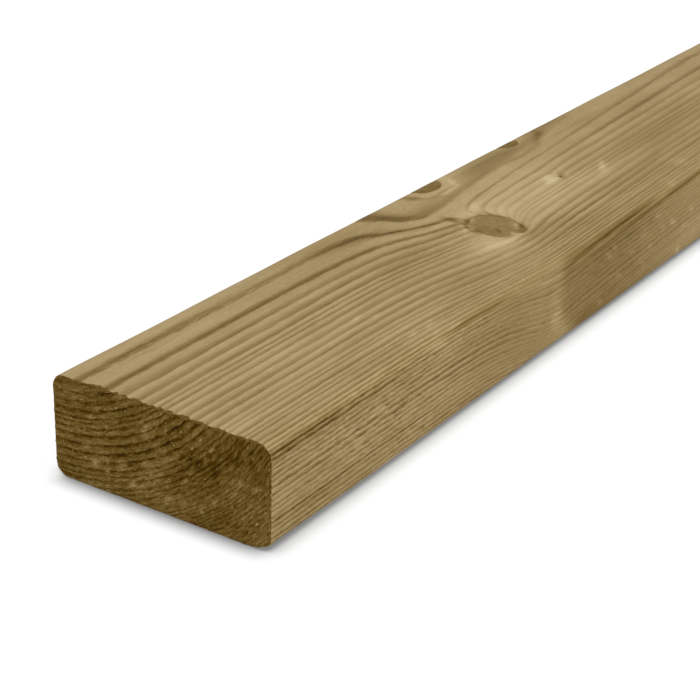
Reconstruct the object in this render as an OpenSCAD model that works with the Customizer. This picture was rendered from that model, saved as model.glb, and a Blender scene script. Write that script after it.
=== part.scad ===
// Timber stud: one length of planed softwood, sawn square at both ends,
// with its four long edges eased to a quarter round.
// It lies on a broad face. X runs along the grain, Y across the broad face
// and Z up, from the middle of the face that it lies on.

/* [Stud] */
// Length between the two sawn ends
stud_length = 2400; // [300:100:6000]
// Width of the section, across the broad faces
stud_width = 89; // [38:1:235]
// Thickness of the section, between the broad faces
stud_thickness = 38; // [20:1:75]

/* [Edges] */
// Radius of the four eased long edges
edge_radius = 5; // [1:0.5:9]

/* [Hidden] */
timber_colour = "#A48C60";
// Centres of the quarter rounds, from the middle of the section
round_centre_y = stud_width / 2 - edge_radius;
round_centre_z = stud_thickness / 2 - edge_radius;
$fn = 96;

// Cross-section of the stud, centred: the flats of the four faces
// with a quarter round in each corner.
module eased_section() {
    square([2 * round_centre_y, stud_thickness], center = true);
    square([stud_width, 2 * round_centre_z], center = true);
    for (side = [-1, 1], face = [-1, 1])
        translate([side * round_centre_y, face * round_centre_z])
            circle(r = edge_radius);
}

// The whole stud: its section run along X and set down on Z = 0.
module stud() {
    color(timber_colour)
        translate([-stud_length / 2, 0, stud_thickness / 2])
            rotate([90, 0, 90])
                linear_extrude(height = stud_length)
                    eased_section();
}

stud();
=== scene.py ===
# %% [markdown]
# # A treated timber stud
# The part is one length of planed softwood that lies on a broad face, with a sawn end towards us.
# The CAD model gives its true size as a plain block with eased edges. This lesson turns that block
# into timber: it works out how the tree grew, cuts the stud from that tree, and then stains it.

# %% Load the frame
import math

import bpy
import numpy as np
from mathutils import Matrix, Vector, noise


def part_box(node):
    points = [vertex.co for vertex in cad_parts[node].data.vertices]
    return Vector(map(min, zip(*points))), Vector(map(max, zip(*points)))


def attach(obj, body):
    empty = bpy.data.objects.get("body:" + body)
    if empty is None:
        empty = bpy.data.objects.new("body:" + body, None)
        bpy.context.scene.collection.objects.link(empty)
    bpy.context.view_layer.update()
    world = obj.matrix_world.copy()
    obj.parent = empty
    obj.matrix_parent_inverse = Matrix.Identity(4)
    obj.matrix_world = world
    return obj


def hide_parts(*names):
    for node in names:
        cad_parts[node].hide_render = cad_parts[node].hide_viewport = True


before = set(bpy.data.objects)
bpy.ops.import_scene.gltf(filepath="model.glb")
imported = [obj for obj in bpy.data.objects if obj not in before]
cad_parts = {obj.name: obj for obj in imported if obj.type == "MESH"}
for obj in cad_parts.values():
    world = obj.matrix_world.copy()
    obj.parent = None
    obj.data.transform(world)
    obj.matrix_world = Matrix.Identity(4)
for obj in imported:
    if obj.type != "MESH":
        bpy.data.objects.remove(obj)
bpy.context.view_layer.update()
MM = 0.001
low, high = [np.array(corner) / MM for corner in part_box("stud")]
stud_length, stud_width, stud_thickness = high - low
print("stud in mm:", stud_length, stud_width, stud_thickness)

# %% [markdown]
# ## The camera
# The camera stands low and to one side of the sawn end, with a long lens, so the edges close in only
# slowly. Its place is measured from the middle of the sawn end's lower edge. It is set up first, because
# it shows how much detail each part of the stud needs.

# %% Set up the camera
# The image and the focal length in pixels, the sensor and the camera's place in millimetres
IMAGE_SIZE = 700
FOCAL_LENGTH = 1789.0
SENSOR_WIDTH = 36.0
CAMERA_FROM_END = (-389.1, -323.7, 294.5)
CAMERA_YAW = math.radians(32.93)
CAMERA_PITCH = math.radians(-25.01)
CAMERA_ROLL = math.radians(1.58)

look = Vector((math.cos(CAMERA_YAW) * math.cos(CAMERA_PITCH),
               math.sin(CAMERA_YAW) * math.cos(CAMERA_PITCH),
               math.sin(CAMERA_PITCH)))
level_right = look.cross(Vector((0, 0, 1))).normalized()
level_up = level_right.cross(look)
right = level_right * math.cos(CAMERA_ROLL) + level_up * math.sin(CAMERA_ROLL)
up = level_up * math.cos(CAMERA_ROLL) - level_right * math.sin(CAMERA_ROLL)

lens = bpy.data.cameras.new("product_camera")
lens.sensor_fit = "HORIZONTAL"
lens.sensor_width = SENSOR_WIDTH
lens.lens = FOCAL_LENGTH / IMAGE_SIZE * SENSOR_WIDTH
lens.clip_start = 0.01
camera = bpy.data.objects.new("product_camera", lens)
camera_place = (Vector((low[0], 0, 0)) + Vector(CAMERA_FROM_END)) * MM
camera.matrix_world = Matrix.Translation(camera_place) @ Matrix((right, up, -look)).transposed().to_4x4()
bpy.context.scene.collection.objects.link(camera)
bpy.context.scene.camera = camera
print("camera at", tuple(round(c, 3) for c in camera.location), "lens", round(lens.lens, 1), "mm")

# %% [markdown]
# ## The tree
# A stud is a slice of a trunk. The trunk's centre, the pith, lay above this stud's far top edge, so the
# rings cross the sawn end as wide arcs. Each year added one ring, pale in spring and dark by autumn.
# A picture of wood would only fit one face. A description of the trunk fits every face at once, and the
# lines on the top meet those on the end where they should, so that is what we write. All sizes from here
# to the mesh are in millimetres, and x counts from the sawn end that faces us.

# %% Yearly rings around the pith
PITH_Y = 44.5
PITH_Z = 94.0
FIRST_RING = 41.2
# Each year: the width of its ring, and how dark its autumn wood is
YEARS = [
    (3.6, 0.8), (3.6, 0.8), (5.4, 1.1), (3.3, 1.0), (3.5, 1.1), (3.2, 0.8), (3.0, 0.8), (3.0, 0.75),
    (1.8, 0.75), (1.7, 0.75), (2.5, 0.6), (3.1, 0.7), (3.1, 0.7), (2.9, 0.75), (3.2, 0.7), (2.0, 0.5),
    (1.7, 0.6), (2.8, 0.8), (1.8, 0.6), (1.6, 0.7), (2.5, 0.7), (1.9, 0.8), (1.8, 0.9), (1.2, 0.9),
    (1.2, 1.5), (1.3, 1.4), (1.1, 0.7), (1.0, 1.1), (1.2, 0.9), (1.1, 0.9), (1.4, 1.5), (1.6, 1.4),
    (1.2, 0.8), (1.4, 1.2), (1.2, 0.7), (1.3, 0.7), (1.1, 1.6), (1.3, 0.7), (1.4, 1.0), (1.4, 1.0),
    (1.1, 1.0), (1.3, 1.0), (1.3, 1.0), (1.3, 1.0),
]
LINE_PART = 0.86
# Where in the year the wood starts to darken, by distance from the pith
START_RADII = [53, 54, 58, 61, 65]
STARTS = [0.1, 0.62, 0.62, 0.30, 0.08]

year_widths, year_darkness = np.array(YEARS).T
line_radii = FIRST_RING + np.cumsum(year_widths)
year_ends = line_radii + (1 - LINE_PART) * year_widths
year_numbers = np.arange(1, len(YEARS) + 1)


def around_pith(points):
    """How far each point lies from the pith, and its angle from straight below it towards -Y."""
    across = PITH_Y - points[:, 1]
    below = PITH_Z - points[:, 2]
    return np.hypot(across, below), np.arctan2(across, below)


nearest = PITH_Z - stud_thickness
furthest = math.hypot(PITH_Y + stud_width / 2, PITH_Z)
print("rings in the stud:", int(np.sum((year_ends > nearest) & (year_ends < furthest))))

# %% [markdown]
# ## Branches
# Every few hundred millimetres the tree grew a ring of branches, a whorl. The trunk swells around a whorl,
# so the grain climbs towards it on one side and drops slowly again past it, with a crease between. The
# first whorl is the one that shows on the top face. The others are spread along the rest of the stud, as
# such timber has them.

# %% Whorls
# Each whorl: x, and its swelling against that of the first
WHORLS = [(200, 1.0), (672, 0.5), (1128, 0.6), (1561, 0.45), (2040, 0.55)]
SWELL_RADII = [58, 64, 70, 78, 86, 94, 102, 110, 120]
SWELL_HEIGHTS = [6.6, 6.75, 5.75, 5.3, 7.3, 7.9, 6.1, 3.8, 6.4]
CLIMB_RADII = [57.5, 59.3, 62.5, 66, 69.5, 80, 92, 100, 110]
CLIMB_REACHES = [17.5, 26.5, 28.5, 34, 42, 49, 60, 64, 40]
CLIMB_POWER_RADII = [60, 69]
CLIMB_POWERS = [1.3, 2.0]
CREASE_RADII = [60, 84, 90, 98, 105, 111, 117, 121, 127]
CREASE_PLACES = [-4, -1, -1.5, -3, -7, -8.5, -8, -5, 3]
DROP_REACH = 250.0
DROP_RADII = [66, 76]
DROP_FLOORS = [0.47, 0.35]


def dying(distance, reach):
    """1 up to a distance of 0, and then less and less over about the given reach."""
    return np.exp(-np.maximum(distance, 0) / reach)


def past_crease(x, radius, whorl_x):
    """How far x lies past the crease of a whorl."""
    return x - whorl_x - np.interp(radius, CREASE_RADII, CREASE_PLACES)


def swelling(x, radius):
    """How far the rings stand out around the whorls."""
    total = np.zeros_like(x)
    for whorl_x, share in WHORLS:
        past = past_crease(x, radius, whorl_x)
        reach = np.interp(radius, CLIMB_RADII, CLIMB_REACHES)
        climb = np.exp(-np.abs(past / reach) ** np.interp(radius, CLIMB_POWER_RADII, CLIMB_POWERS))
        lowest = np.interp(radius, DROP_RADII, DROP_FLOORS)
        fall = (1 + lowest) * dying(past, DROP_REACH) - lowest
        total += share * np.where(past < 0, climb, np.maximum(fall, 0))
    return total * np.interp(radius, SWELL_RADII, SWELL_HEIGHTS)


print("whorls at x:", [whorl_x for whorl_x, share in WHORLS])

# %% [markdown]
# A branch leaves the pith and runs outward, and where the saw crosses it we see a knot. Close to it the
# rings turn up along it like a collar, most of all on its inner side. A branch that died is overgrown, so
# further out there is only the swelling. A branch is a little thicker along the trunk than across it.

# %% Branches
# Each branch: x at the top face, angle from straight down, radius, where it is overgrown, tone, notch
BRANCHES = [
    (206.3, 42.5, 11.0, 100, 138, 0.28), (228, 2.2, 9.4, 60, 124, 0), (299.5, 2.2, 7.2, 59, 120, 0),
    (275, 38.2, 1.0, 90, 128, 0), (655, 22, 8.0, 120, 140, 0.1), (683, 49, 6.0, 140, 138, 0),
    (1118, 34, 9.5, 110, 142, 0.15), (1141, 6, 7.0, 90, 136, 0), (1549, 13, 8.0, 100, 140, 0.1),
    (1574, 47, 7.0, 140, 138, 0), (2030, 28, 9.5, 120, 142, 0.2), (2052, 52, 5.5, 140, 136, 0),
]
COLLAR_REACH = 4.5
BRANCH_LEAN = -0.12
BRANCH_FLATNESS = 1.15
LUMPS = 0.04
ALMOST_CLOSED = 0.999


def bell(value, middle, width):
    """1 at the middle, and less the further the value lies to either side of it."""
    return np.exp(-((value - middle) / width) ** 2)


def pointing(direction, middle, width):
    """1 where a direction in degrees points at the middle, and less the further it turns away."""
    off = (direction - middle + 180) % 360 - 180
    return bell(off, 0, width)


def branch_places(points):
    """For each branch: the direction from it, its radius there, the gap to its bark, tone and notch.

    A direction of 0 points on along the stud, and one of 90 degrees towards the near edge.
    """
    radius, angle = around_pith(points)
    for branch_x, lean_angle, thick, overgrown, tone, notch in BRANCHES:
        turn = angle - math.radians(lean_angle)
        outward = radius * np.cos(turn)
        beside = BRANCH_FLATNESS * radius * np.sin(turn)
        top_face = (PITH_Z - stud_thickness) / math.cos(math.radians(lean_angle))
        along = points[:, 0] - branch_x - BRANCH_LEAN * (outward - top_face)
        rounded = np.clip((outward - overgrown) / thick, 0, ALMOST_CLOSED)
        direction = np.degrees(np.arctan2(beside, along))
        notched = pointing(direction, 110, 16) + 0.55 * pointing(direction, 28, 26)
        outline_change = 1 + LUMPS * np.sin(3 * np.radians(direction)) - notch * notched
        girth = thick * np.sqrt(1 - rounded ** 2) * outline_change
        yield direction, girth, np.hypot(along, beside) - girth, tone, notch


print("branches:", len(BRANCHES))

# %% [markdown]
# ## The wood at any point
# Now one function can say what the timber is like anywhere: its year and how dark that year's line is,
# the way the grain runs, how deep a point lies in a knot, and the sheen of its fibres. Fibres that tip out
# of the face catch the light, so the wood is pale before a crease, dark past it, and pale beside a knot.
# That sheen is painted into the wood's tone, as a painted highlight and painted shade.
# The shader could work this out for each pixel, but the mesh needs it too, for relief. So we work it out
# once for each vertex and store it there.

# %% Painted sheen and shade of the fibres
# Tone of the near edge along the stud: partly its own tone, and past the first crease mostly painted shade
# of fibres that tip away
EDGE_TONE_X = [0, 60, 130, 190, 230, 330, 450]
EDGE_TONES = [-9, -5, -4, -12, -19, -6, 0]
# Tones added or taken: nearest the pith the wood's own darker core; before a crease painted sheen, past it
# painted shade, on the climb painted shade, and beyond painted sheen
INNER_SHADE = 6
CREASE_SHINE, CREASE_SHADE, OUTER_SHADE = 10, 8, 11
CLIMB_SHADE, BEYOND_SHINE = 7, 8
# Where the faint stretch past the first whorl's knots comes in and goes out, and its shade
FAINT_FROM, FAINT_TO = (240, 320), (430, 520)
FAINT_SHADE = 5
LEAST_CONTRAST = 0.1


def ease(start, end, value):
    """0 before start, 1 after end and a smooth step between them."""
    t = np.clip((value - start) / (end - start), 0, 1)
    return t * t * (3 - 2 * t)


def faintness(x):
    """1 on the stretch past the first whorl's knots where the grain is faint, 0 elsewhere."""
    return ease(*FAINT_FROM, x) * (1 - ease(*FAINT_TO, x))


def whorl_shine(x, radius, on_edge):
    """Painted sheen and painted shade of the tipped fibres around the whorls, with the near edge's tone and
    the darker core, and how strong the ring lines are.
    """
    painted_sheen_and_tone = on_edge * np.interp(x, EDGE_TONE_X, EDGE_TONES) - INNER_SHADE * (1 - ease(60, 66, radius))
    contrast = 1 - 0.15 * on_edge
    outer = ease(78, 90, radius)
    for whorl_x, share in WHORLS:
        past = past_crease(x, radius, whorl_x)
        before = bell(past, 0, 14) * (1 - ease(-6, 3, past))
        after = ease(-10 + 7 * on_edge, 24 - 17 * on_edge, past) * dying(past, 190)
        painted_sheen_and_tone += share * on_edge * (CREASE_SHINE * before - CREASE_SHADE * after)
        painted_sheen_and_tone -= share * (OUTER_SHADE * outer * after + CLIMB_SHADE * bell(past, -45, 34))
        painted_sheen_and_tone += share * BEYOND_SHINE * (1 - outer) * bell(past, 55, 45)
        contrast -= share * (0.55 - 0.50 * outer + 0.50 * on_edge) * after
        contrast += share * 0.45 * (outer - on_edge) * bell(past, 25, 32)
        fade = (outer - on_edge) * bell(past, -12, 18) + 1.6 * on_edge * bell(past, -15, 45)
        contrast -= share * 0.28 * fade * (1 - after)
    contrast *= 1 - (0.22 + 0.25 * on_edge) * faintness(x)
    painted_sheen_and_tone -= FAINT_SHADE * (1 - on_edge) * faintness(x)
    return painted_sheen_and_tone, np.maximum(contrast, LEAST_CONTRAST)


# %% [markdown]
# The rings wander a little from a true circle, swell at the whorls and turn up at the knots. What is left
# of a point's distance from the pith gives its year, so the same steps serve the faces and the ends.

# %% The wood field
NEAR_EDGE = (86, 88.5)
EDGE_ROUGH_X = [0, 90, 150]
EDGE_ROUGHNESS = [0.5, 0.4, 0]
NO_KNOT = -2.0
PLAIN_KNOT_TONE = 140.0
FAR_FROM_KNOTS = 500.0


def ripple(points, size):
    """Smooth noise from about -1 to 1, in bumps of the given size."""
    return np.array([noise.noise(place) for place in (points / size).tolist()])


def wood_at(points):
    """What the timber is like at each point, as a dictionary of arrays."""
    radius, angle = around_pith(points)
    x = points[:, 0]
    steep = np.clip(1.3 * np.sin(np.abs(angle)), 0.15, 1)
    wander = 0.15 * ripple(points, (170, 60, 60)) + 0.12 * ripple(points, (35, 10, 10))
    grown = radius - swelling(x, radius) - steep * wander
    on_edge = ease(*NEAR_EDGE, PITH_Y - points[:, 1])
    painted_sheen_and_tone, contrast = whorl_shine(x, radius, on_edge)
    rough = 0.12 + 0.5 * ripple(points + 50, (45, 12, 12)) - 0.4 * faintness(x)
    rough += on_edge * np.interp(x, EDGE_ROUGH_X, EDGE_ROUGHNESS)
    knot = np.full(len(points), NO_KNOT)
    knot_tone = np.full(len(points), PLAIN_KNOT_TONE)
    rim = np.zeros(len(points))
    gap = np.full(len(points), FAR_FROM_KNOTS)
    for direction, girth, this_gap, tone, notch in branch_places(points):
        size = np.clip(girth / 8, 0, 1)
        collar = 1.5 + 3.0 * pointing(direction, -10, 50) + 5.5 * pointing(direction, -85, 45)
        grown -= collar * dying(this_gap, COLLAR_REACH) * np.clip(girth / 5, 0, 1)
        near = size * dying(this_gap, 9)
        faded = near * (0.5 * pointing(direction, -30, 70) + 0.5 * pointing(direction, 40, 40))
        faded += 4.0 * notch * dying(this_gap, 22) * pointing(direction, 165, 32)
        contrast *= 1 - np.clip(faded, 0, 0.9)
        # Painted sheen beside each knot, and a painted highlight along the outside of its rim on one side
        painted_sheen_and_tone += 12 * near * pointing(direction, -30, 50)
        painted_sheen_and_tone += 10 * size * bell(this_gap, 1.1, 0.9) * pointing(direction, -143, 40)
        inside = -this_gap / np.maximum(girth, 0.5)
        closest = inside > knot
        knot = np.where(closest, inside, knot)
        knot_tone = np.where(closest, tone, knot_tone)
        dark_rim = pointing(direction, -150, 50) + pointing(direction, -25, 35) + pointing(direction, 75, 25)
        rim = np.where(closest, size * np.clip(0.15 + dark_rim, 0, 1), rim)
        gap = np.minimum(gap, this_gap)
    # The fibre tone carries painted sheen and painted shade, besides the core's and the near edge's own tone
    return {"year": np.interp(grown, year_ends, year_numbers),
            "start": np.interp(grown, START_RADII, STARTS),
            "fineness": 1 / np.interp(grown, line_radii, year_widths),
            "darkness": contrast * np.interp(grown, line_radii, year_darkness),
            "painted_sheen_and_tone": painted_sheen_and_tone, "rough": np.clip(rough, 0, 1),
            "knot": knot, "knot_tone": knot_tone, "rim": rim, "gap": gap,
            "torn": np.zeros(len(points)), "mark": np.zeros(len(points)),
            "grain": np.stack([grown, angle * radius, x], axis=1)}


middle_of_end = wood_at(np.array([[0, 0, stud_thickness / 2]]))
print("year in the middle of the near end:", round(float(middle_of_end["year"][0]), 1))

# %% [markdown]
# ## The section and the rows
# The stud's skin is a grid: one outline of the section, repeated along the length. The outline starts in
# the middle of a rounded corner and goes round by its four sides, so the ends can later be filled with a
# grid of their own that meets the skin point for point.

# %% Outline of the section
EDGE_RADIUS = 5.0
ARC_STEPS = 4
BROAD_STEPS = 88
NARROW_STEPS = 30


def section_side(half_flat, reach, steps, facing):
    """Points and outward directions along one side, from mid-corner to mid-corner."""
    arc = np.linspace(-math.pi / 4, 0, ARC_STEPS, endpoint=False)
    bend = np.concatenate([arc, np.zeros(steps + 1), -arc[:0:-1]])
    run = np.concatenate([np.full(ARC_STEPS, -half_flat), np.linspace(-half_flat, half_flat, steps + 1),
                          np.full(ARC_STEPS - 1, half_flat)])
    place_along = run + EDGE_RADIUS * np.sin(bend)
    place_out = reach - EDGE_RADIUS + EDGE_RADIUS * np.cos(bend)
    out = np.array([math.cos(facing), math.sin(facing)])
    along = np.array([-out[1], out[0]])
    points = np.outer(place_along, along) + np.outer(place_out, out)
    normals = np.outer(np.sin(bend), along) + np.outer(np.cos(bend), out)
    return points, normals


half_width, half_thickness = stud_width / 2, stud_thickness / 2
sides = []
for quarter in range(4):
    facing = (quarter - 1) * math.pi / 2
    if quarter % 2 == 0:
        sides.append(section_side(half_width - EDGE_RADIUS, half_thickness, BROAD_STEPS, facing))
    else:
        sides.append(section_side(half_thickness - EDGE_RADIUS, half_width, NARROW_STEPS, facing))
outline = np.concatenate([points for points, normals in sides]) + [0, half_thickness]
outline_normals = np.concatenate([normals for points, normals in sides])
broad_count, narrow_count = len(sides[0][0]), len(sides[1][0])
column_count = len(outline)
print("points round the section:", column_count)

# %% [markdown]
# Even rows would waste most of the mesh on plain straight grain. So the rows lie close together near
# knots, scuffs and the sawn ends, where there is detail, and further apart elsewhere, most of all past
# the stretch that the camera sees.

# %% Rows along the length
SEEN_LENGTH = 520
# Each: space between rows beside a knot, how far that reaches, growth for each millimetre, widest space
SEEN_ROWS = (0.8, 2, 0.10, 7.5)
OTHER_ROWS = (7.0, 4, 0.20, 36.0)
SCUFFED_FROM, SCUFFED_TO, SCUFFED_SPACE = 86, 130, 3.2
END_SPACE, END_GROWTH = 0.3, 0.25


def row_step(x):
    """Space to the next row at x."""
    beside_knot, knot_reach, growth, widest = SEEN_ROWS if x < SEEN_LENGTH else OTHER_ROWS
    knot_gap = min(abs(x - branch[0]) - branch[2] for branch in BRANCHES)
    plain = min(beside_knot + growth * max(0, knot_gap - knot_reach), widest)
    if SCUFFED_FROM < x < SCUFFED_TO:
        plain = min(plain, SCUFFED_SPACE)
    from_end = min(x, stud_length - x)
    return min(plain, END_SPACE + END_GROWTH * from_end)


rows = [0.0]
while rows[-1] < stud_length:
    rows.append(rows[-1] + row_step(rows[-1]))
row_x = np.array(rows) * stud_length / rows[-1]
row_count = len(row_x)
print("rows along the stud:", row_count)

# %% [markdown]
# ## Relief
# A planer leaves timber smooth but not flat. Hard autumn wood stands a little above soft spring wood,
# a knot has a groove round it, the faces wander by a tenth of a millimetre, and the eased edges carry
# dents. The lower front edge is worn the roundest, close to the near end. All of it is cut into the CAD
# block and none added on top, so the stud keeps its size and still lies flat.

# %% Relief of the planed faces
LEVEL, RING_RELIEF = 0.10, 0.08
GROOVE_DEPTH, GROOVE_WIDTH = 0.30, 0.9
KNOT_RISE, RISE_REACH = 0.08, 10
DENT_LEVEL, DENT_DEPTH = 0.08, 0.20
# The worn edge: depth, then its middle and width from the front, its height, and where it ends along x
WEAR_DEPTH = 1.1
WEAR_MIDDLE, WEAR_WIDTH, WEAR_HEIGHT = 2.5, 4, 2.5
WEAR_END = (5, 60)


def autumn(year):
    """1 in the dark wood at the end of each year, 0 in the pale wood."""
    part = year % 1
    return ease(0.45, 0.9, part) * (1 - ease(0.94, 1.0, part))


def year_width(points):
    """Width of the ring at each point."""
    return np.interp(around_pith(points)[0], year_ends, year_widths)


def planed_depth(points, normals, wood):
    """How far the planed surface lies inside the CAD block."""
    on_edge = 1 - np.abs(np.abs(normals[:, 1]) - np.abs(normals[:, 2]))
    worn = bell(points[:, 1] + half_width, WEAR_MIDDLE, WEAR_WIDTH) * bell(points[:, 2], 0, WEAR_HEIGHT)
    worn *= 1 - ease(*WEAR_END, points[:, 0])
    coarse = ease(1.6, 3.0, year_width(points))
    depth = LEVEL - RING_RELIEF * coarse * autumn(wood["year"])
    depth += 0.04 * ripple(points, (120, 25, 25)) + 0.03 * ripple(points, (30, 6, 6))
    depth += on_edge * (DENT_LEVEL + DENT_DEPTH * ripple(points + 300, (45, 14, 14))) + WEAR_DEPTH * worn
    depth += GROOVE_DEPTH * bell(wood["gap"], 0, GROOVE_WIDTH)
    depth -= KNOT_RISE * dying(wood["gap"], RISE_REACH)
    return np.maximum(depth, 0)


skin_points = np.empty((row_count, column_count, 3))
skin_points[:, :, 0] = row_x[:, None]
skin_points[:, :, 1:] = outline
skin_normals = np.zeros_like(skin_points)
skin_normals[:, :, 1:] = outline_normals
skin_points = skin_points.reshape(-1, 3)
skin_normals = skin_normals.reshape(-1, 3)

skin_wood = wood_at(skin_points)
skin_depth = planed_depth(skin_points, skin_normals, skin_wood)
print("relief in mm:", round(skin_depth.min(), 2), "to", round(skin_depth.max(), 2))

# %% [markdown]
# The saw tears the ends. Chips of the skin break away along the rim and bare the dark wood below, and the
# end itself is left rough. The chips are cut into the first few rows of the skin, and each vertex keeps
# a note of how torn it is, so the stain can follow.

# %% Relief of the sawn ends
CHIP_DEPTH = 0.3
LONGEST_CHIP = 2.6
EDGE_SHARE = 0.12
# Where across the top, from the far side, chips begin and where they get shorter
CHIPPED_FROM, SHORTER_FROM = (11, 17), (50, 66)
SAW_LEVEL, TEAR_DEPTH, SOFT_DEPTH = 0.10, 0.35, 0.06


def torn_skin(points, normals):
    """1 where a chip of the skin broke away beside an end, 0 where the skin is whole."""
    from_end = np.minimum(points[:, 0], stud_length - points[:, 0])
    round_rim = points * [0, 1, 1] + 70
    chip = 1.0 + 1.7 * ripple(round_rim, 2.4) + 1.2 * ripple(round_rim + 30, 1.1)
    across = half_width - points[:, 1]
    on_top = ease(0.6, 1.0, normals[:, 2]) * ease(*CHIPPED_FROM, across)
    share = EDGE_SHARE + (1 - EDGE_SHARE) * on_top * (1 - 0.6 * ease(*SHORTER_FROM, across))
    chip_length = np.clip(chip, 0, LONGEST_CHIP) * share
    return (1 - ease(chip_length - 0.2, chip_length + 0.2, from_end)) * ease(0.0, 0.2, chip_length)


def sawn_depth(points, wood):
    """How far the sawn surface lies inside the end of the CAD block."""
    fine = ripple(points + 40, (1, 1.6, 1.3))
    broad = ripple(points + 90, (1, 9, 5))
    torn = TEAR_DEPTH * np.clip(0.45 * fine + 0.25 * broad, 0, 1)
    return SAW_LEVEL + torn + SOFT_DEPTH * (1 - autumn(wood["year"]))


skin_wood["torn"] = torn_skin(skin_points, skin_normals)
skin_depth += CHIP_DEPTH * skin_wood["torn"]
skin_places = skin_points - skin_normals * skin_depth[:, None]
first_row = np.arange(column_count)
last_row = first_row + (row_count - 1) * column_count
for row, inward in ((first_row, 1), (last_row, -1)):
    row_wood = {name: values[row] for name, values in skin_wood.items()}
    skin_places[row, 0] += inward * sawn_depth(skin_points[row], row_wood)
print("torn vertices:", int(np.sum(skin_wood["torn"] > 0.5)))

# %% [markdown]
# ## Marks of use, and painted sheen and shade
# Some marks follow no rule: a pale bruise, a resin streak, a scuff from handling. They are set one by one
# where they are seen, on the top, the near edge and the near end. Each is a soft oval, lighter or darker
# than the wood. On the skin, its place across counts from the far top edge, over the top and down the edge.
# Round the big knot and the pin knot, some ovals are painted sheen and painted shade of tipped fibres and of
# a small bump

# %% Soft ovals
def soft_ovals(along, across, ovals):
    """Tone that a list of soft ovals adds at each place."""
    total = np.zeros(len(along))
    for middle_along, middle_across, half_length, half_breadth, turn, tone in ovals:
        run = along - middle_along
        rise = across - middle_across
        cosine, sine = math.cos(math.radians(turn)), math.sin(math.radians(turn))
        lengthwise = (run * cosine + rise * sine) / half_length
        crosswise = (rise * cosine - run * sine) / half_breadth
        total += tone * np.exp(-lengthwise ** 2 - crosswise ** 2)
    return total


# %% Marks on the skin
# Each mark: x, place across, half length, half breadth, turn in degrees, tone
GRAIN_MARKS = [
    (27, 10.7, 7, 0.9, 0, -10), (12, 22.3, 14, 1.0, 0, -12), (96, 56.5, 2.8, 0.9, -20, 24),
    (96.5, 79.5, 3.0, 0.9, -15, 26), (107, 80, 2.8, 0.8, -15, 22), (103, 85.6, 3.4, 0.8, 4, 24),
    (112, 87, 3.2, 0.8, 3, 22), (101, 60, 2.6, 0.9, 20, 16), (150, 9, 30, 4, 5, -7),
    (157, 15, 20, 3.0, 13, -24), (174, 22, 10, 2.4, 30, -16), (188, 28.8, 8, 2.0, 20, -10),
    # On the next line the pale ovals before the pin knot and the dark one on it are a painted highlight and
    # a painted shadow of its small bump
    (268.5, 42.6, 5, 2.5, -10, 48), (256, 43.6, 14, 1.8, 0, 10), (275.4, 44.4, 4.2, 1.6, -46, -24),
    (286, 46.4, 9, 1.0, 0, -12), (298.5, 52.3, 6, 1.6, -25, 30), (326, 78, 5, 4, 0, 13),
    (298, 86, 3, 2.5, 0, 13), (269, 28, 3, 12, 0, 5), (368, 50, 45, 8, 0, -18),
    (150, 73, 28, 8, 0, -5),
]
# Round the big knot: its dark rim, ring lines and a crack, and painted sheen and painted shade of the fibres
# that tip round it
KNOT_MARKS = [
    (195, 47.6, 2.8, 1.3, -72, -55), (197.6, 42.3, 2.6, 1.1, -50, -58), (202.5, 38.9, 4.0, 1.1, -25, -48),
    (199, 43.8, 2.8, 0.9, -55, 32), (204.5, 40.6, 4, 0.9, -18, 36), (194, 43.2, 5, 0.9, -38, 16),
    (178, 24.5, 12, 1.6, 27, -14), (191, 29.3, 6, 1.5, 12, -16), (186, 36, 8, 1.2, 14, -8),
    (194, 38.6, 3, 1.3, 40, -24), (189, 41.3, 4, 1.1, 18, -16), (200.3, 34, 4.2, 2.0, 88, -62),
    (197.5, 31.3, 4, 1.3, 15, -22), (215.8, 43.5, 5, 1.6, 84, -36), (212.5, 39.4, 2.4, 1.2, 20, -16),
    (201, 54.8, 2.4, 1.0, -52, -28), (210.6, 57.2, 3.4, 1.0, -38, 44), (212, 59.4, 2.8, 1.1, -35, -44),
    (208, 62.2, 4, 1.6, -8, -18), (203, 60.5, 3.0, 1.3, 75, 22), (199.5, 49, 3, 8, 0, -8),
    (208, 49, 4, 5, 0, 5), (186, 57.5, 11, 4, 8, 14), (192, 63.8, 13, 2.6, 10, 26),
    (188, 70, 16, 3.5, 10, 9), (208, 34, 6, 3, 0, 6), (218, 33.5, 6, 2.5, -35, 12),
    (224, 45.5, 9, 2.8, -8, 10), (207, 66.8, 6, 1.0, -6, -20), (219, 65, 9, 1.0, -9, -16),
]
EDGE_KNOT_MARKS = [
    (186, 11, 6, 2.6, 62, -26), (192, 18.5, 4, 1.8, 40, -14), (203, 21.2, 8, 1.5, 6, -10),
    (222, 20.8, 12, 1.5, -3, -10), (242, 18.8, 10, 1.6, -9, -10), (263, 16.8, 12, 1.8, -4, -10),
    (283, 16.9, 9, 1.5, 3, -24), (299, 16.2, 8, 1.5, -8, -24), (313, 12.2, 8, 1.9, -27, -26),
    (322, 7.3, 4, 2.3, -52, -24), (338, 6.5, 11, 3, -4, 14), (262, 10, 20, 6, 0, -8),
    (229, 15.6, 9, 1.3, -6, 22), (239.5, 10.5, 5, 1.5, -55, 22), (216.4, 9, 3.4, 1.2, 58, 12),
    (211.6, 7.4, 4.6, 2.4, 58, -42), (219, 14.6, 5, 1.4, 28, -14), (228, 13.5, 8, 0.8, -3, -18),
    (220, 8, 5, 2, 0, -9),
]
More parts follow.
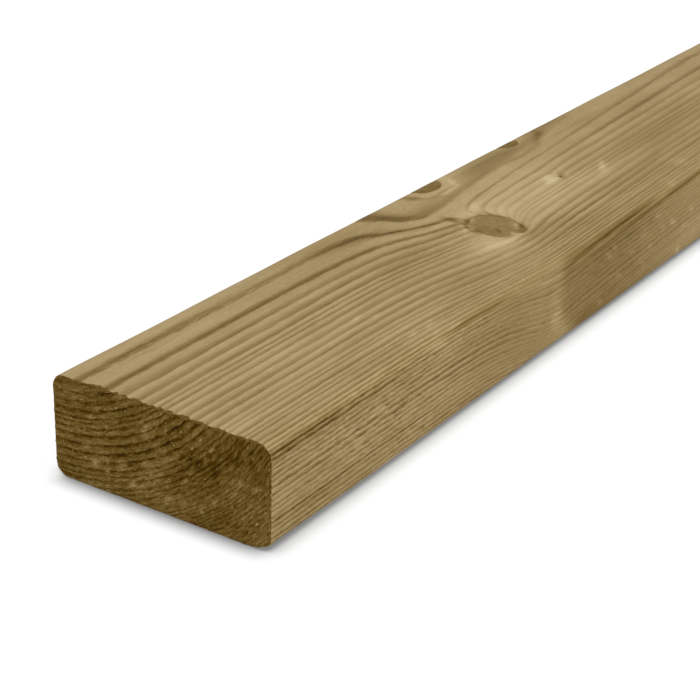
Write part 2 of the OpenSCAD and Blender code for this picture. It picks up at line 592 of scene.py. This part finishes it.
NEAR_EDGE_MARKS = [
    (12, 91.3, 45, 1.2, 0, -38), (12, 93.7, 40, 0.9, 0, -22), (3, 92.5, 2, 0.7, 10, 24),
    (39, 92.5, 3, 1, 0, 18), (99, 92, 7, 2, 0, 14), (117, 89.6, 9, 0.9, 0, -48),
    (133, 89.8, 11, 0.9, 3, -44), (150, 90.8, 10, 0.9, 5, -16), (170, 92.4, 12, 0.9, 5, -14),
    (160, 91.4, 12, 1.0, 6, 14), (172, 93.4, 8, 0.9, 10, 12), (180, 108, 7, 12, 0, -6),
    (190, 94.0, 9, 1.0, 4, -26), (203, 93.4, 8, 1.1, -8, -28), (216, 92.3, 9, 1.2, -5, -40),
    (230, 91.4, 9, 1.2, -4, -46), (244, 90.6, 9, 1.2, -3, -44), (257, 89.9, 9, 1.2, -3, -34),
    (270, 89.3, 9, 1.2, -3, -20), (185, 95.2, 10, 1.0, 2, 12), (204, 94.8, 12, 0.9, -4, 14),
    (225, 93.7, 12, 0.9, -3, 22), (245, 92.4, 10, 0.8, -4, 12), (262, 91.4, 10, 0.8, -3, 12),
    (285, 90.4, 14, 0.8, -2, 10), (200, 97.2, 14, 1.0, -2, -12), (222, 95.8, 11, 1.0, -2, -22),
    (241, 94.6, 9, 0.9, -4, -24), (256, 93.6, 9, 0.9, -4, -30), (268, 93.0, 8, 0.9, -3, -34),
    (281, 92.4, 9, 1.0, -3, -38), (295, 91.5, 9, 1.1, -3, -44), (310, 90.9, 10, 1.2, -3, -44),
    (324, 90.2, 9, 1.2, -3, -40), (342, 89.8, 12, 1.2, -2, -38), (364, 89.4, 14, 1.2, -1, -34),
    (390, 89.2, 16, 1.2, 0, -28), (190, 112.5, 4, 2, 0, 12), (188, 115, 5, 3, 20, 12),
    (225, 121, 18, 3, -5, -10), (213, 122, 8, 4, 0, -12), (232, 104, 24, 12, -20, -5),
    (310, 116, 30, 10, -10, 8), (233, 101.5, 3, 1, 35, 28), (238, 99.6, 2.4, 0.9, 30, 28),
    (243.5, 113.5, 2.6, 1, 25, 28), (228, 120, 2.4, 1, 25, 28), (255, 107, 2.6, 0.9, 20, 24),
    (279, 98.4, 2.6, 0.9, 15, 26), (266, 103, 4, 1, 0, 18), (296, 106, 4, 1.4, 25, 24),
    (316, 106, 3, 1.2, 30, 22), (286, 105.5, 2.5, 1, 30, 20), (305, 122, 2.4, 1.6, 40, 26),
    (274, 110.6, 3, 0.9, 15, 18), (268, 116.5, 3, 1.2, 30, 18), (309, 112, 3, 1, 0, 18),
]

skin_across = (half_width - skin_points[:, 1]) + (stud_thickness - skin_points[:, 2])
skin_ovals = GRAIN_MARKS + KNOT_MARKS + EDGE_KNOT_MARKS + NEAR_EDGE_MARKS
towards_us = ease(0.2, 0.5, skin_normals[:, 2] - skin_normals[:, 1])
skin_wood["mark"] = towards_us * soft_ovals(skin_points[:, 0], skin_across, skin_ovals)
print("marks on the skin:", len(skin_ovals))

# %% [markdown]
# The near end has its own marks: broad shades where it drank more or less of the stain, and small pale
# flecks of lifted wood.

# %% Marks on the near end
# Each mark: place from the far side, place from the top, half length, half breadth, turn in degrees, tone
END_MARKS = [
    (73, 9, 15, 7, -25, -22), (10, 26, 10, 6, -5, 5), (57, 25, 9, 6, -35, -7), (61, 14, 8, 5, -35, -8),
    (47, 8, 6, 4, -30, -8), (20, 2.5, 9, 2, -8, -12), (40, 25, 12, 5, -30, 10), (33, 32, 10, 3.5, -25, 10),
    (48, 32, 10, 3, -30, 8), (19, 8.5, 1.2, 0.8, -20, 45), (16, 12, 1.4, 0.8, -20, 50),
    (38.5, 10.5, 1.2, 0.8, -20, 45), (66, 8.3, 1.4, 0.9, -40, 50), (63, 12.3, 1.2, 0.9, -40, 45),
    (13.5, 23.3, 1.5, 0.9, -10, 45), (38.5, 21.3, 1.9, 0.9, -35, 55), (28.5, 25.5, 2.0, 1.3, -10, 34),
    (17.3, 28.4, 1.7, 0.9, -15, 60), (33, 31, 1.4, 0.9, -20, 40), (55, 23, 1.3, 0.8, -40, 40),
    (67, 26.8, 3.0, 0.8, -42, 45), (82.5, 17, 1.4, 0.8, -45, 35), (48.5, 31.5, 1.9, 0.9, -30, 32),
    (28.3, 22.3, 1.6, 1.0, -15, -24), (20.5, 31, 1.4, 1.0, -15, -25), (48.5, 11, 2.2, 1.3, -25, -18),
]


def end_mark_tones(points):
    """Tone that the marks add at each point of the near end."""
    return soft_ovals(half_width - points[:, 1], stud_thickness - points[:, 2], END_MARKS)


print("marks on the near end:", len(END_MARKS))

# %% [markdown]
# ## The mesh
# The skin's quads join each row to the next. Each end is a grid whose border is the skin's own last row.
# The points inside are blended from the four sides, so the cells stay even right into the round corners
# and follow the worn edge, and the whole is one closed mesh, like the one piece of timber that it is.

# %% Fill an end
def end_grid(rim):
    """Border columns of the end's grid, with -1 inside, and every point's (y, z), blended from the rim."""
    across, upward = broad_count, narrow_count
    border = np.full((across + 1, upward + 1), -1)
    border[:, 0] = np.arange(across + 1)
    border[across, :] = across + np.arange(upward + 1)
    border[:, upward] = across + upward + np.arange(across, -1, -1)
    border[0, 1:] = (2 * across + 2 * upward - np.arange(1, upward + 1)) % column_count
    u = np.linspace(0, 1, across + 1)[:, None, None]
    v = np.linspace(0, 1, upward + 1)[None, :, None]
    low_side, high_side = rim[border[:, 0]][:, None], rim[border[:, -1]][:, None]
    left_side, right_side = rim[border[0]][None], rim[border[-1]][None]
    corners = ((1 - u) * (1 - v) * low_side[:1] + u * (1 - v) * low_side[-1:]
               + (1 - u) * v * high_side[:1] + u * v * high_side[-1:])
    blend = (1 - v) * low_side + v * high_side + (1 - u) * left_side + u * right_side - corners
    return border, blend


def quads(grid):
    """Faces between neighbouring entries of a grid of vertex numbers."""
    return np.stack([grid[:-1, :-1], grid[1:, :-1], grid[1:, 1:], grid[:-1, 1:]], axis=-1).reshape(-1, 4)


# How dark the rings are on the ends, by distance from the pith
END_RADII = [60, 63.6, 66.6, 70, 75, 77, 80, 83, 86, 89, 92, 100, 130]
END_DARKNESS = [0.5, 0.6, 0.95, 0.85, 0.9, 1.05, 1.12, 1.12, 0.95, 0.85, 0.8, 0.6, 0.45]

places, woods = [skin_places], [skin_wood]
vertex_total = len(skin_places)
end_faces = []
for end_x, row, inward in ((0.0, first_row, 1), (stud_length, last_row, -1)):
    border, end_places = end_grid(skin_places[row, 1:])
    inside = border < 0
    flat = end_places[inside]
    points = np.column_stack([np.full(len(flat), end_x), flat])
    wood = wood_at(points)
    wood["darkness"] = np.interp(wood["grain"][:, 0], END_RADII, END_DARKNESS)
    if inward > 0:
        wood["mark"] = end_mark_tones(points)
    cut = points.copy()
    cut[:, 0] += inward * sawn_depth(points, wood)
    grid = np.where(inside, 0, row[border])
    grid[inside] = vertex_total + np.arange(len(points))
    vertex_total += len(points)
    places.append(cut)
    woods.append(wood)
    end_faces.append(quads(grid)[:, ::-1] if inward > 0 else quads(grid))

print("points inside the ends:", vertex_total - len(skin_places))

# %% Build the stud
skin_grid = np.arange(row_count * column_count).reshape(row_count, column_count)
skin_faces = quads(np.column_stack([skin_grid, skin_grid[:, 0]]))[:, ::-1]
all_places = np.concatenate(places)
all_places[:, 0] += low[0]
all_faces = np.concatenate([skin_faces] + end_faces)
mesh = bpy.data.meshes.new("timber_stud")
mesh.from_pydata((all_places * MM).tolist(), [], all_faces.tolist())
mesh.polygons.foreach_set("use_smooth", np.ones(len(all_faces), dtype=bool))
material_numbers = np.zeros(len(all_faces), dtype=np.int32)
material_numbers[len(skin_faces):] = 1
mesh.polygons.foreach_set("material_index", material_numbers)

edge_ends = np.empty(len(mesh.edges) * 2, dtype=np.int32)
mesh.edges.foreach_get("vertices", edge_ends)
edge_rows = edge_ends.reshape(-1, 2) // column_count
sharp = ((edge_rows == 0) | (edge_rows == row_count - 1)).all(axis=1)
mesh.attributes.new("sharp_edge", "BOOLEAN", "EDGE").data.foreach_set("value", sharp)
mesh.update()

stud = bpy.data.objects.new("timber_stud", mesh)
bpy.context.scene.collection.objects.link(stud)
print("triangles:", 2 * len(all_faces), "edges with two faces each:", len(mesh.edges) == 2 * len(all_faces))

# %% [markdown]
# A shader can't call our function, but it can read values that are stored on the vertices. So what the
# wood is like at each vertex goes onto the mesh by name, ready for the finishes.

# %% Store the wood on the vertices
STORED = ("year", "start", "fineness", "darkness", "painted_sheen_and_tone", "rough",
          "knot", "knot_tone", "rim", "torn", "mark")
for name in STORED:
    values = np.concatenate([wood[name] for wood in woods])
    mesh.attributes.new(name, "FLOAT", "POINT").data.foreach_set("value", values.astype(np.float32))
grain_values = np.concatenate([wood["grain"] for wood in woods]).astype(np.float32)
mesh.attributes.new("grain", "FLOAT_VECTOR", "POINT").data.foreach_set("vector", grain_values.ravel())
print("values stored on each vertex:", len(STORED) + 1)

# %% [markdown]
# ## A flat map
# The stud also gets a map, so that its finish can be kept as a picture elsewhere. The skin unrolls into a
# long strip. The first half metre gets the most room, because it is looked at closely, and the rest is
# cut into two strips below it. The two ends stand in a column on the right.

# %% Unroll the stud
MAP_SIZE = 1024
MAP_MARGIN = 8
# Each strip: its first and last x, pixels for each millimetre, and where it starts on the map
STRIPS = [(0, 480, 1.88, 8), (480, 1440, 0.94, 480), (1440, 2400, 0.94, 722)]
END_SCALE = 2.35
END_COLUMN = 930
END_STARTS = (8, 250)

lengths = np.linalg.norm(np.diff(np.vstack([outline, outline[:1]]), axis=0), axis=1)
round_place = np.concatenate([[0], np.cumsum(lengths)])
face_row, face_column = np.divmod(np.arange(len(skin_faces)), column_count)
corner_x = row_x[np.stack([face_row, face_row + 1, face_row + 1, face_row], axis=1)]
corner_round = round_place[np.stack([face_column + 1, face_column + 1, face_column, face_column], axis=1)]
skin_map = np.empty((len(skin_faces), 4, 2))
middle_x = corner_x.mean(axis=1)
for start, stop, scale, top in STRIPS:
    chosen = (middle_x >= start) & (middle_x <= stop)
    skin_map[chosen, :, 0] = MAP_MARGIN + (corner_x[chosen] - start) * scale
    skin_map[chosen, :, 1] = top + corner_round[chosen] * scale
end_maps = []
for faces, top in zip(end_faces, END_STARTS):
    across_end = all_places[faces][:, :, 1] + half_width
    up_end = all_places[faces][:, :, 2]
    end_maps.append(np.stack([END_COLUMN + up_end * END_SCALE, top + across_end * END_SCALE], axis=2))
flat_map = mesh.uv_layers.new(name="OFBake")
uv = np.concatenate([skin_map] + end_maps).reshape(-1, 2) / MAP_SIZE
flat_map.uv.foreach_set("vector", uv.astype(np.float32).ravel())
print("map spans", uv.min(axis=0).round(3), uv.max(axis=0).round(3))

# %% [markdown]
# ## Shader helpers
# A material is a chain of small nodes. A few short helpers keep the chains readable: they add any node,
# add a sum or a smooth step, or make a node group with named sockets, for effects that both finishes use.

# %% Node helpers
def fill_inputs(tree, made, inputs):
    """Links sockets to a node's inputs, and sets plain values."""
    for name, value in inputs.items():
        if isinstance(value, bpy.types.NodeSocket):
            tree.links.new(value, made.inputs[name])
        else:
            made.inputs[name].default_value = value


def add_node(tree, kind, inputs=None, output=0, **options):
    """Adds a node, sets its options, fills its inputs, and returns one of its outputs."""
    made = tree.nodes.new("ShaderNode" + kind)
    for name, value in options.items():
        setattr(made, name, value)
    fill_inputs(tree, made, inputs or {})
    return made.outputs[output]


def calc(tree, operation, first, second=0.0, third=0.0):
    """Adds a math node."""
    return add_node(tree, "Math", {0: first, 1: second, 2: third}, operation=operation)


def slide(tree, value, from_low, from_high, to_low=0.0, to_high=1.0):
    """Adds a smooth step from one range to another."""
    ends = {"Value": value, "From Min": from_low, "From Max": from_high, "To Min": to_low, "To Max": to_high}
    return add_node(tree, "MapRange", ends, interpolation_type="SMOOTHSTEP")


def new_group(name, inputs, outputs):
    """Makes a node group and returns it with its input node and output node."""
    group = bpy.data.node_groups.new(name, "ShaderNodeTree")
    for socket_name, kind in inputs:
        group.interface.new_socket(socket_name, in_out="INPUT", socket_type="NodeSocket" + kind)
    for socket_name, kind in outputs:
        group.interface.new_socket(socket_name, in_out="OUTPUT", socket_type="NodeSocket" + kind)
    return group, group.nodes.new("NodeGroupInput"), group.nodes.new("NodeGroupOutput")


def use_group(tree, group, inputs):
    """Places a node group in a tree and returns its output."""
    made = tree.nodes.new("ShaderNodeGroup")
    made.node_tree = group
    fill_inputs(tree, made, inputs)
    return made.outputs[0]


def add_up(tree, start, *terms):
    """A start value plus several weighted effects."""
    total = start
    for weight, effect in terms:
        total = calc(tree, "MULTIPLY_ADD", effect, weight, total)
    return total


# %% [markdown]
# ## Growth rings
# Within a year the wood goes from pale to dark slowly, and the next spring starts with a hard line.
# The group takes the year stored on the mesh and gives that band. Where in the year the darkening starts
# is left open, because an end shows it otherwise than a face.

# %% Growth ring group
DARKENING_POWER = 1.3

ring_group, ring_in, ring_out = new_group(
    "growth_rings", [("Year", "Float"), ("Start", "Float")], [("Autumn", "Float")])
part_of_year = calc(ring_group, "FRACT", ring_in.outputs["Year"])
darkening = slide(ring_group, part_of_year, ring_in.outputs["Start"], LINE_PART)
darkening = calc(ring_group, "POWER", darkening, DARKENING_POWER)
spring_line = slide(ring_group, part_of_year, LINE_PART, 1.0, 1.0, 0.0)
ring_group.links.new(calc(ring_group, "MULTIPLY", darkening, spring_line), ring_out.inputs["Autumn"])
print("nodes in growth_rings:", len(ring_group.nodes))

# %% [markdown]
# ## Streaks along the grain
# Fibres, rays and dirt all follow the grain. Noise that is stretched along it gives each of them, from
# fine fibres to broad bands, by choosing how wide and how long its marks are. The stored grain place is
# used in place of x, y and z, so the marks bend around the knots with the rings.

# %% Grain mark group
mark_group, mark_in, mark_out = new_group(
    "grain_marks", [("Grain", "Vector"), ("Size", "Vector"), ("Detail", "Float")], [("Mark", "Float")])
stretched = add_node(mark_group, "VectorMath", {0: mark_in.outputs["Grain"], 1: mark_in.outputs["Size"]},
                     operation="DIVIDE")
mark_noise = add_node(mark_group, "TexNoise", {"Vector": stretched, "Scale": 1.0, "Roughness": 0.55,
                                               "Detail": mark_in.outputs["Detail"]})
mark_group.links.new(calc(mark_group, "SUBTRACT", mark_noise, 0.5), mark_out.inputs["Mark"])
print("nodes in grain_marks:", len(mark_group.nodes))

# %% [markdown]
# ## The stain
# The preservative tints everything the same olive brown. Whatever the cause, the painted sheen and painted
# shade of the fibres included, a darker place is drawn as a deeper shade of that one stain. So each finish
# works out a single tone from 0 to 255, and this group turns it into a colour.

# %% Stain group
FULL_TONE = 255
# Each: a tone and its colour
STAIN = [(40, (40, 20, 0)), (80, (80, 55, 0)), (120, (120, 96, 46)), (160, (160, 136, 90)),
         (210, (210, 188, 145))]


def linear(colour):
    """A screen colour from 0 to 255 as the linear values that a shader uses."""
    scaled = np.array(colour) / FULL_TONE
    curve = np.where(scaled > 0.04045, ((scaled + 0.055) / 1.055) ** 2.4, scaled / 12.92)
    return (*curve.tolist(), 1.0)


stain_group, stain_in, stain_out = new_group("olive_stain", [("Tone", "Float")], [("Colour", "Color")])
ramp = stain_group.nodes.new("ShaderNodeValToRGB")
for number, (tone, colour) in enumerate(STAIN):
    place = tone / FULL_TONE
    stop = ramp.color_ramp.elements[number] if number < 2 else ramp.color_ramp.elements.new(place)
    stop.position = place
    stop.color = linear(colour)
stain_group.links.new(calc(stain_group, "DIVIDE", stain_in.outputs["Tone"], FULL_TONE), ramp.inputs["Fac"])
stain_group.links.new(ramp.outputs["Color"], stain_out.inputs["Colour"])
print("colours in the stain:", len(ramp.color_ramp.elements))

# %% [markdown]
# ## Planed faces
# The planed faces show the rings as lines, fine fibres between them, the painted sheen and painted shade
# that were worked out before, and small pale scuffs. Each effect adds to the tone or takes from it, and the
# number beside it says how much.

# %% Planed timber
FACE_TONE = 177.0


def stored(tree, name, output="Fac"):
    """Reads a value that was stored on the mesh."""
    return add_node(tree, "Attribute", output=output, attribute_name=name)


def mark(tree, grain, across, along, detail=2.0):
    """Marks along the grain, of the given size in millimetres."""
    size = (across, across, along)
    return use_group(tree, mark_group, {"Grain": grain, "Size": size, "Detail": detail})


def new_finish(name):
    """A new material with its own shader."""
    finish = bpy.data.materials.new(name)
    finish.use_nodes = True
    return finish, finish.node_tree, finish.node_tree.nodes["Principled BSDF"]


planed, tree, shader = new_finish("planed_timber")
grain = stored(tree, "grain", "Vector")
rough = stored(tree, "rough")
waves = add_up(tree, 0.0, (0.6, mark(tree, grain, 2.0, 45.0)), (0.9, mark(tree, grain, 0.7, 7.0)))
waves = add_up(tree, waves, (rough, mark(tree, grain, 0.9, 4.0)))
year = add_up(tree, stored(tree, "year"), (stored(tree, "fineness"), waves))
rings = use_group(tree, ring_group, {"Year": year, "Start": stored(tree, "start")})
gaps = calc(tree, "MULTIPLY", mark(tree, grain, 1.1, 5.0), rough)
fading = add_up(tree, 0.95, (1.3, mark(tree, grain, 6.0, 60.0)), (3.0, gaps))
lines = calc(tree, "MULTIPLY", calc(tree, "MULTIPLY", rings, stored(tree, "darkness")), fading)
fibres = mark(tree, grain, 0.45, 22.0, 3.0)
pores = mark(tree, grain, 0.5, 1.6)
tears = calc(tree, "MULTIPLY", mark(tree, grain, 0.7, 2.6), rough)
scuffs = slide(tree, mark(tree, grain, 0.9, 3.0, 1.0), 0.17, 0.27)
bands = mark(tree, grain, 5.0, 160.0)
blotches = mark(tree, grain, 16.0, 45.0)
# The stored fibre tone adds painted sheen and painted shade to the plain wood
wood_tone = add_up(tree, FACE_TONE, (1.0, stored(tree, "painted_sheen_and_tone")), (-52.0, lines), (28.0, fibres),
                   (26.0, pores), (55.0, tears), (14.0, scuffs), (24.0, bands), (28.0, blotches))
print("nodes for the plain wood:", len(tree.nodes))

# %% [markdown]
# A knot has a tone of its own and a dark rim, and where the saw broke the skin away, the dark wood of the
# end shows. Both are mixed over the plain wood. Hard lines are a little glossier than the rest, and lines,
# fibres and rims give the fine bump that the mesh is too coarse for.

# %% Knots and torn skin
TORN_TONE = 98.0

knot = stored(tree, "knot")
knot_tone = add_up(tree, stored(tree, "knot_tone"), (50.0, mark(tree, grain, 2.5, 2.5, 3.0)))
tone = add_node(tree, "Mix", {0: slide(tree, knot, -0.03, 0.05), 2: wood_tone, 3: knot_tone})
knot_rim = slide(tree, calc(tree, "ABSOLUTE", knot), 0.02, 0.12, 1.0, 0.0)
knot_rim = calc(tree, "MULTIPLY", knot_rim, stored(tree, "rim"))
tone = add_up(tree, tone, (-18.0, knot_rim), (1.0, stored(tree, "mark")))
torn_tone = add_up(tree, TORN_TONE, (50.0, mark(tree, grain, 0.5, 0.5)))
torn = slide(tree, stored(tree, "torn"), 0.3, 0.7)
tone = add_node(tree, "Mix", {0: torn, 2: tone, 3: torn_tone})
tree.links.new(use_group(tree, stain_group, {"Tone": tone}), shader.inputs["Base Color"])
shader.inputs["Specular IOR Level"].default_value = 0.1
tree.links.new(add_up(tree, 0.68, (-0.08, lines), (0.15, fibres)), shader.inputs["Roughness"])
height = add_up(tree, 0.0, (0.5, lines), (0.5, fibres), (-0.8, knot_rim))
bump = add_node(tree, "Bump", {"Height": height, "Strength": 0.6, "Distance": 0.00015})
tree.links.new(bump, shader.inputs["Normal"])
print("nodes in planed_timber:", len(tree.nodes))

# %% [markdown]
# ## Sawn ends
# End grain drinks the preservative, so the ends are much darker than the faces. The soft spring wood drinks
# the most. There each dark band follows the year's line instead of leading up to it, so the year is fed in
# backwards. The saw drags the wood along the rings into short streaks, breaks the bands into dabs, and
# lifts pale fibres that show as flecks.

# %% Sawn end grain
END_TONE = 113.0
BAND_START = 0.25
MARK_LENGTH = 50.0


def end_mark(tree, grain, radial, tangential, detail=2.0):
    """Marks on the end, of the given size across and along the rings."""
    size = (radial, tangential, MARK_LENGTH)
    return use_group(tree, mark_group, {"Grain": grain, "Size": size, "Detail": detail})


sawn, tree, shader = new_finish("sawn_end_grain")
grain = stored(tree, "grain", "Vector")
waves = add_up(tree, 0.0, (1.4, end_mark(tree, grain, 2.5, 6.0)), (1.2, end_mark(tree, grain, 0.7, 2.0)))
year = add_up(tree, stored(tree, "year"), (stored(tree, "fineness"), waves))
rings = use_group(tree, ring_group, {"Year": calc(tree, "MULTIPLY", year, -1.0), "Start": BAND_START})
rings = calc(tree, "MULTIPLY", rings, stored(tree, "darkness"))
rings = calc(tree, "MULTIPLY", rings, add_up(tree, 0.9, (1.8, end_mark(tree, grain, 4.0, 7.0))))
streaks = end_mark(tree, grain, 0.75, 4.0)
dabs = end_mark(tree, grain, 0.9, 1.4)
clouds = end_mark(tree, grain, 9.0, 13.0)
flecks = slide(tree, end_mark(tree, grain, 1.5, 2.4, 1.0), 0.17, 0.25)
tone = add_up(tree, END_TONE, (-42.0, rings), (105.0, streaks), (65.0, dabs), (60.0, clouds),
              (45.0, flecks), (1.0, stored(tree, "mark")))
tree.links.new(use_group(tree, stain_group, {"Tone": tone}), shader.inputs["Base Color"])
shader.inputs["Specular IOR Level"].default_value = 0.05
shader.inputs["Roughness"].default_value = 0.85
height = add_up(tree, 0.0, (0.8, dabs), (0.5, streaks), (0.4, flecks))
bump = add_node(tree, "Bump", {"Height": height, "Strength": 0.7, "Distance": 0.0004})
tree.links.new(bump, shader.inputs["Normal"])
print("nodes in sawn_end_grain:", len(tree.nodes))

# %% [markdown]
# ## Dress the part
# Both finishes go onto the one mesh, the skin first and then the ends. The stud then takes the place of
# the plain CAD block and moves with its body.

# %% Put the stud in the CAD block's place
mesh.materials.append(planed)
mesh.materials.append(sawn)
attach(stud, "root")
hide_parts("stud")
print("finishes on the stud:", [finish.name for finish in mesh.materials])

# %% [markdown]
# ## The studio
# The stud lies on a white floor under a broad soft light from above, with even light all round. The floor
# stays pure white to the camera apart from a painted shadow where the stud meets it, darker where fewer
# directions stay open. Below the round long edges the floor looks outward at a slant in that test, which
# keeps the painted shadow as narrow there as below the ends.

# %% Floor
FLOOR_SIZE = 60.0
EDGE_LEAN = 0.6
SHADOW_REACH = 0.0085
HALF_OPEN, DARKEST = 0.5, 0.24
FLOOR_COLOUR, SEEN_COLOUR, SEEN_GLOW = 0.9, 0.2, 0.86


def seen_by_eye(tree):
    """1 for what the camera sees, directly or in a mirror or through glass, and 0 for light in the scene."""
    paths = add_node(tree, "LightPath", output="Is Camera Ray").node
    mirrored = calc(tree, "MAXIMUM", paths.outputs["Is Glossy Ray"], paths.outputs["Is Transmission Ray"])
    return calc(tree, "MAXIMUM", paths.outputs["Is Camera Ray"], mirrored)


floor_mesh = bpy.data.meshes.new("studio_floor")
reach = FLOOR_SIZE / 2
floor_mesh.from_pydata([(-reach, -reach, 0), (reach, -reach, 0), (reach, reach, 0), (-reach, reach, 0)], [],
                       [(0, 1, 2, 3)])
floor = bpy.data.objects.new("studio_floor", floor_mesh)
bpy.context.scene.collection.objects.link(floor)
white, tree, shader = new_finish("white_floor")
shader.inputs["Roughness"].default_value = 1.0
shader.inputs["Specular IOR Level"].default_value = 0.0
seen = seen_by_eye(tree)
across = add_node(tree, "SeparateXYZ", {0: add_node(tree, "TexCoord", output="Object")}, output="Y")
edge_place = half_width * MM
lean = add_node(tree, "MapRange", {"Value": across, "From Min": -edge_place, "From Max": edge_place,
                                   "To Min": -EDGE_LEAN, "To Max": EDGE_LEAN})
leaning = add_node(tree, "CombineXYZ", {"Y": lean, "Z": 1.0})
away = add_node(tree, "VectorMath", {0: leaning}, operation="NORMALIZE")
openness = add_node(tree, "AmbientOcclusion", {"Distance": SHADOW_REACH, "Normal": away}, output="AO",
                    samples=16)
# Painted shadow: the floor's colour and glow, as the camera sees them, darken where few directions stay open
lit = add_node(tree, "MapRange", {"Value": openness, "From Min": HALF_OPEN, "To Min": DARKEST})
grey = add_node(tree, "Mix", {0: seen, 2: FLOOR_COLOUR, 3: calc(tree, "MULTIPLY", lit, SEEN_COLOUR)})
tree.links.new(add_node(tree, "CombineColor", {0: grey, 1: grey, 2: grey}), shader.inputs["Base Color"])
shader.inputs["Emission Color"].default_value = (1.0, 1.0, 1.0, 1.0)
glow = calc(tree, "MULTIPLY", calc(tree, "MULTIPLY", lit, seen), SEEN_GLOW)
tree.links.new(glow, shader.inputs["Emission Strength"])
floor_mesh.materials.append(white)
print("floor:", FLOOR_SIZE, "m wide")

# %% [markdown]
# The world lights the stud evenly at a plain level. To the camera it is pure white, like the floor, so no
# horizon shows.

# %% World
SKY_LIGHT = 0.62

world = bpy.data.worlds.new("studio_world")
bpy.context.scene.world = world
world.use_nodes = True
tree = world.node_tree
background = tree.nodes["Background"]
background.inputs["Color"].default_value = (1.0, 1.0, 1.0, 1.0)
sky = calc(tree, "MULTIPLY_ADD", seen_by_eye(tree), 1.0 - SKY_LIGHT, SKY_LIGHT)
tree.links.new(sky, background.inputs["Strength"])
print("light from all round:", SKY_LIGHT)

# %% [markdown]
# One broad panel hangs above the near end, on the camera's side. A small lamp would draw hard shadows.
# A broad one makes the top a little lighter than the near edge and the end, and shades the round edges
# softly.

# %% Overhead light
PANEL_SIZE = (3.2, 1.6)
PANEL_POWER = 27.0
PANEL_PLACE = (-1.7, -1.0, 2.0)
PANEL_TARGET = (-1.0, 0.0, 0.0)

panel = bpy.data.lights.new("overhead_panel", "AREA")
panel.shape = "RECTANGLE"
panel.size, panel.size_y = PANEL_SIZE
panel.energy = PANEL_POWER
panel_object = bpy.data.objects.new("overhead_panel", panel)
panel_object.location = PANEL_PLACE
aim = Vector(PANEL_TARGET) - panel_object.location
panel_object.rotation_euler = aim.to_track_quat("-Z", "Y").to_euler()
bpy.context.scene.collection.objects.link(panel_object)
bpy.context.scene.view_settings.view_transform = "Standard"
print("panel:", PANEL_SIZE, "m,", PANEL_POWER, "W")
